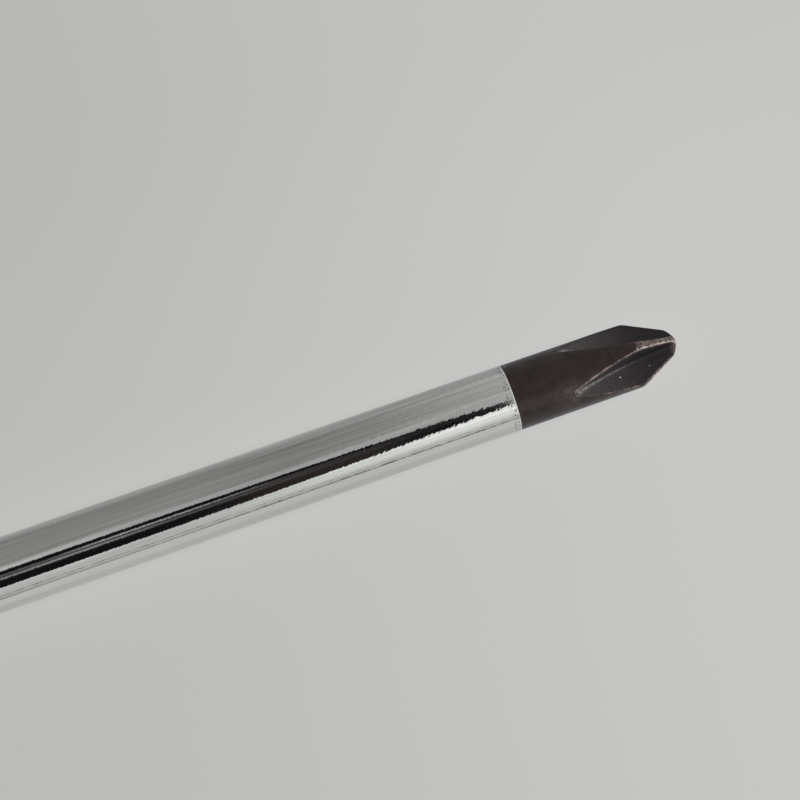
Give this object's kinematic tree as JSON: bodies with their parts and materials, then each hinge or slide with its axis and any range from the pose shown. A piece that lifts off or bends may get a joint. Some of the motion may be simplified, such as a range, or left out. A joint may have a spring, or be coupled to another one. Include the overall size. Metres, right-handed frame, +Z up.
{
  "type": "cross-head screwdriver",
  "caption": "Cross-head screwdriver: round plated blade with a blackened fluted tip, in a moulded soft-grip handle with an anti-roll ring and a hang hole.",
  "frame": {"origin": "centre of the part's bounding box in X and Y, on the surface that it lies on in Z", "axes": "+X along the blade towards the tip, +Z up from the flat that the handle lies on, +Y to the left of the blade"},
  "size_m": [0.209, 0.0336, 0.03],
  "materials": {
    "plated_steel": "bright plating over fine lengthwise polishing lines; the last 16 mm before the tip is blackened instead",
    "core_plastic": "dark grey moulded plastic, satin",
    "ring_plastic": "mid grey moulded plastic, satin",
    "soft_grip": "black soft elastomer, matt"
  },
  "bodies": {
    "root": {"blade": "plated_steel", "handle_core": "core_plastic", "anti_roll_ring": "ring_plastic", "finger_sleeve": "soft_grip", "grip_sleeve": "soft_grip", "end_cap": "core_plastic", "cap_inlay": "ring_plastic"}
  },
  "joints": []
}
